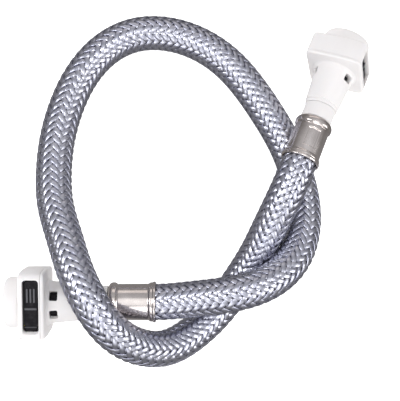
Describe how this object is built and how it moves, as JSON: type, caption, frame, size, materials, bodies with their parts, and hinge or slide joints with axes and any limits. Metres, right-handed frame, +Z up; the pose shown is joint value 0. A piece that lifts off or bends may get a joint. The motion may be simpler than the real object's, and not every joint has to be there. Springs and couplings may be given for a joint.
{
  "type": "braided supply line",
  "caption": "Stainless-braided flexible water hose lying in one crossed loop, with a swivelling push-to-connect coupler and latch button on each end.",
  "frame": {"origin": "centre of the two end fittings' box, on the surface that the line lies on", "axes": "+Z up from that surface; +X from the left fitting towards the right one; +Y away from a viewer who sees the left fitting at the lower left"},
  "size_m": [0.1411, 0.135, 0.0366],
  "materials": {
    "stainless_braid": "bright woven stainless wire, glossy strands with dark gaps",
    "stainless_ferrule": "satin drawn stainless with faint turning lines",
    "white_acetal": "white moulded acetal, semi-matt",
    "black_plastic": "black moulded plastic, ribbed thumb cap",
    "seal_rubber": "black nitrile rubber",
    "liner_rubber": "dark grey reinforced rubber",
    "spring_steel": "bright spring steel"
  },
  "bodies": {
    "hose": {"braided_sleeve": "stainless_braid", "inner_tube": "liner_rubber", "ferrule_left": "stainless_ferrule", "stem_left": "white_acetal", "stem_seal_inner_left": "seal_rubber", "stem_seal_outer_left": "seal_rubber", "stem_retainer_left": "black_plastic", "ferrule_right": "stainless_ferrule", "stem_right": "white_acetal", "stem_seal_inner_right": "seal_rubber", "stem_seal_outer_right": "seal_rubber", "stem_retainer_right": "black_plastic"},
    "left_coupler": {"coupler_body_left": "white_acetal", "latch_housing_left": "white_acetal", "latch_spring_left": "spring_steel", "mouth_ring_left": "white_acetal", "nipple_seal_inner_left": "seal_rubber", "nipple_seal_outer_left": "seal_rubber", "seal_spacer_left": "white_acetal"},
    "left_latch": {"latch_button_left": "black_plastic"},
    "right_coupler": {"coupler_body_right": "white_acetal", "latch_housing_right": "white_acetal", "latch_spring_right": "spring_steel", "mouth_ring_right": "white_acetal", "nipple_seal_inner_right": "seal_rubber", "nipple_seal_outer_right": "seal_rubber", "seal_spacer_right": "white_acetal"},
    "right_latch": {"latch_button_right": "black_plastic"}
  },
  "joints": [
    {"name": "left_swivel", "type": "hinge", "parent": "hose", "child": "left_coupler", "pos_m": [-0.0144, -0.0461, 0.0179], "axis": [-0.9945, 0, -0.1045], "continuous": true},
    {"name": "left_latch_press", "type": "slide", "parent": "left_coupler", "child": "left_latch", "axis": [0.1026, 0.1908, -0.9762], "range_m": [0, 0.0016], "stiffness_N_per_m": 800, "springref_m": -0.001, "deforming": ["latch_spring_left"]},
    {"name": "right_swivel", "type": "hinge", "parent": "hose", "child": "right_coupler", "pos_m": [0.0391, 0.0064, 0.022], "axis": [0.3948, 0.9079, -0.1409], "continuous": true},
    {"name": "right_latch_press", "type": "slide", "parent": "right_coupler", "child": "right_latch", "axis": [-0.8661, 0.3166, -0.3868], "range_m": [0, 0.0016], "stiffness_N_per_m": 800, "springref_m": -0.001, "deforming": ["latch_spring_right"]}
  ]
}
